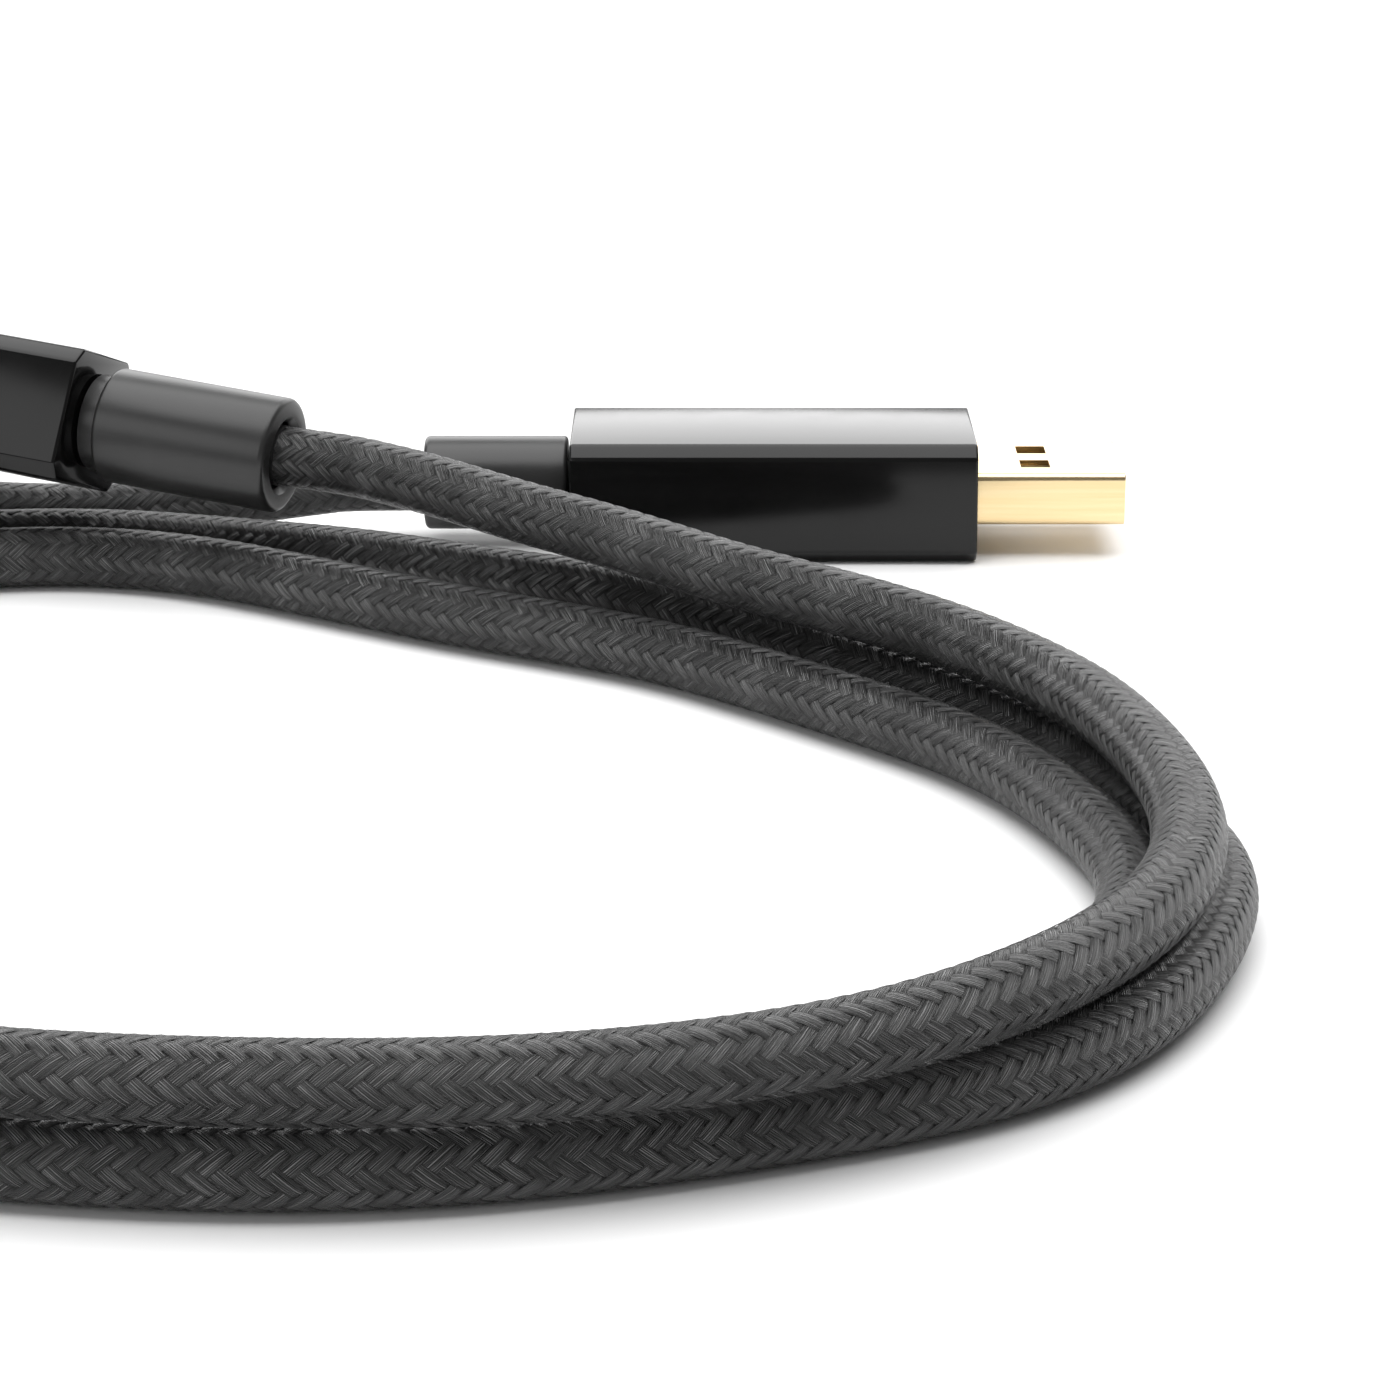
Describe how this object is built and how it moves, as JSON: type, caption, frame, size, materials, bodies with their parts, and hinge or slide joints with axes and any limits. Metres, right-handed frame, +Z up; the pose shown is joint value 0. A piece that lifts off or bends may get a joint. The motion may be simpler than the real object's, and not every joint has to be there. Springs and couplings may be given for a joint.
{
  "type": "instrument cable",
  "caption": "Braided data cable for an instrument or audio interface, coiled in a loose oval, with a flat gold-plated plug at one end and a square gold-plated plug at the other.",
  "frame": {"origin": "middle of the bounding box's base, on the surface that the cable lies on", "axes": "+Z up, +X along the flat plug towards its tip, +Y from the coil's front towards the plugs"},
  "size_m": [0.1497, 0.1466, 0.023],
  "materials": {
    "braid": "woven, satin",
    "collar": "satin",
    "housing": "gloss",
    "mould": "matt",
    "ferrule": "satin",
    "gold_plate": "polished gold plate",
    "insulator": "satin",
    "wire_red": "satin",
    "wire_white": "satin",
    "wire_green": "satin",
    "wire_black": "satin"
  },
  "bodies": {
    "root": {"cable_coil": "braid", "cable_lead_a": "braid", "cable_lead_b": "braid", "usb_a_cable_end": "braid", "usb_a_collar": "collar", "usb_a_housing": "housing", "usb_a_inner_mould": "mould", "usb_a_crimp_ferrule": "ferrule", "usb_a_shell": "gold_plate", "usb_a_tongue": "insulator", "usb_a_contact_1": "gold_plate", "usb_a_contact_2": "gold_plate", "usb_a_contact_3": "gold_plate", "usb_a_contact_4": "gold_plate", "usb_a_wire_1": "wire_red", "usb_a_wire_2": "wire_white", "usb_a_wire_3": "wire_green", "usb_a_wire_4": "wire_black", "usb_b_cable_end": "braid", "usb_b_collar": "collar", "usb_b_housing": "housing", "usb_b_inner_mould": "mould", "usb_b_crimp_ferrule": "ferrule", "usb_b_shell": "gold_plate", "usb_b_insulator": "insulator", "usb_b_contact_1": "gold_plate", "usb_b_contact_2": "gold_plate", "usb_b_contact_3": "gold_plate", "usb_b_contact_4": "gold_plate", "usb_b_wire_1": "wire_red", "usb_b_wire_2": "wire_white", "usb_b_wire_3": "wire_green", "usb_b_wire_4": "wire_black"}
  },
  "joints": []
}
